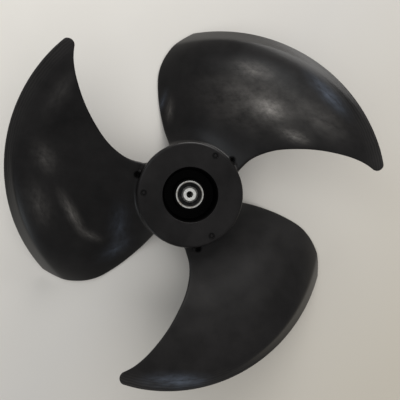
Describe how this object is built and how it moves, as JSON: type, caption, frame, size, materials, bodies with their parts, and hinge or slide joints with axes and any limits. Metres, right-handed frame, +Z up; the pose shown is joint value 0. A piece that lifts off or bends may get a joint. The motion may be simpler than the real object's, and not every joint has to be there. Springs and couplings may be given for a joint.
{
  "type": "propeller fan with swept blades",
  "caption": "Axial propeller fan: a cup hub with deep recess and damped shaft bush carries broad forward-swept blades with a turned lip along the outer edge.",
  "frame": {"origin": "on the shaft axis, at the upper face of the bush, where the bore opens towards the inlet", "axes": "+Z up along the shaft axis towards the inlet face, +X and +Y across the fan, the first blade's tip just left of +X turned counterclockwise"},
  "size_m": [0.4176, 0.4203, 0.1266],
  "materials": {
    "black_plastic": "black glass-filled moulding, worn semi-gloss with cloudy grey smudges",
    "sleeve_steel": "plain drawn tube, dull",
    "black_rubber": "matte",
    "bush_metal": "turned, bright flat face"
  },
  "bodies": {
    "root": {"impeller": "black_plastic", "sleeve": "sleeve_steel", "rubber_damper": "black_rubber", "shaft_bush": "bush_metal"}
  },
  "joints": []
}
